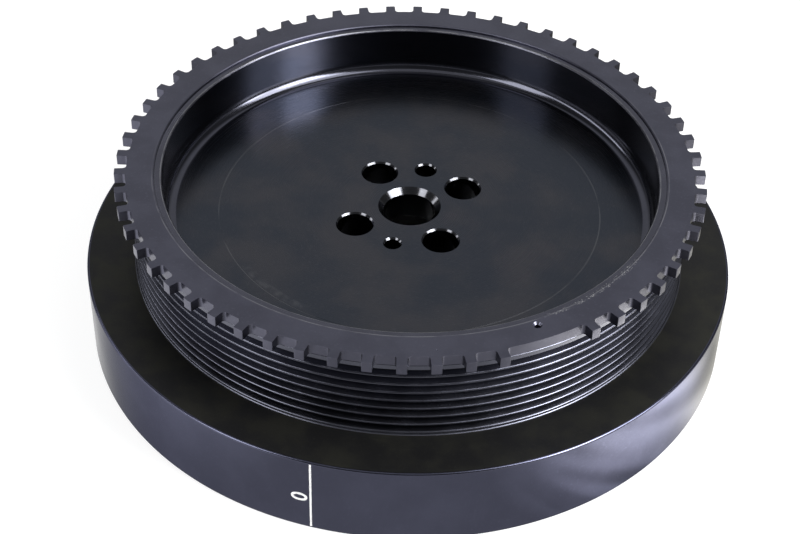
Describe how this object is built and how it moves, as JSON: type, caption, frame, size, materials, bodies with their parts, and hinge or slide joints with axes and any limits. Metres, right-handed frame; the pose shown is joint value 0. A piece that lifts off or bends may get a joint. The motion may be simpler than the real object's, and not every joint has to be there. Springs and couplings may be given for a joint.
{
  "type": "harmonic balancer",
  "caption": "Round viscous crankshaft damper with a grooved belt pulley, a deep hub bowl, and a toothed trigger ring with a gap in its teeth.",
  "frame": {"origin": "centre of the front rim, in the plane on which the damper rests", "axes": "+Z along the crankshaft axis towards the engine, -Y towards the timing line and the smaller hub hole, +Y towards the larger hub hole"},
  "size_m": [0.233, 0.233, 0.0664],
  "materials": {
    "housing_steel": "turned steel with a thin black oxide finish, satin, with fine turning marks",
    "trigger_ring_steel": "blanked and ground steel with a dark oxide finish, satin",
    "cover_steel": "rolled steel plate with a thin black oxide finish, satin",
    "inertia_iron": "turned grey iron, bare and wet with silicone fluid",
    "bush_bronze": "plain turned bearing bronze",
    "pad_polymer": "smooth filled bearing polymer",
    "plug_steel": "black oxide screw steel",
    "seal_copper": "annealed copper, dull"
  },
  "bodies": {
    "hub": {"housing": "housing_steel", "tone_ring": "trigger_ring_steel", "cover_plate": "cover_steel", "fill_plug_1": "plug_steel", "fill_plug_2": "plug_steel", "plug_seal_1": "seal_copper", "plug_seal_2": "seal_copper"},
    "inertia": {"inertia_ring": "inertia_iron", "radial_bush": "bush_bronze", "cover_side_pad_1": "pad_polymer", "cover_side_pad_2": "pad_polymer", "cover_side_pad_3": "pad_polymer", "cover_side_pad_4": "pad_polymer", "cover_side_pad_5": "pad_polymer", "cover_side_pad_6": "pad_polymer", "roof_side_pad_1": "pad_polymer", "roof_side_pad_2": "pad_polymer", "roof_side_pad_3": "pad_polymer", "roof_side_pad_4": "pad_polymer", "roof_side_pad_5": "pad_polymer", "roof_side_pad_6": "pad_polymer"}
  },
  "joints": [
    {"name": "inertia_spin", "type": "hinge", "parent": "hub", "child": "inertia", "pos_m": [0, 0, 0.0157], "axis": [0, 0, 1], "continuous": true}
  ]
}
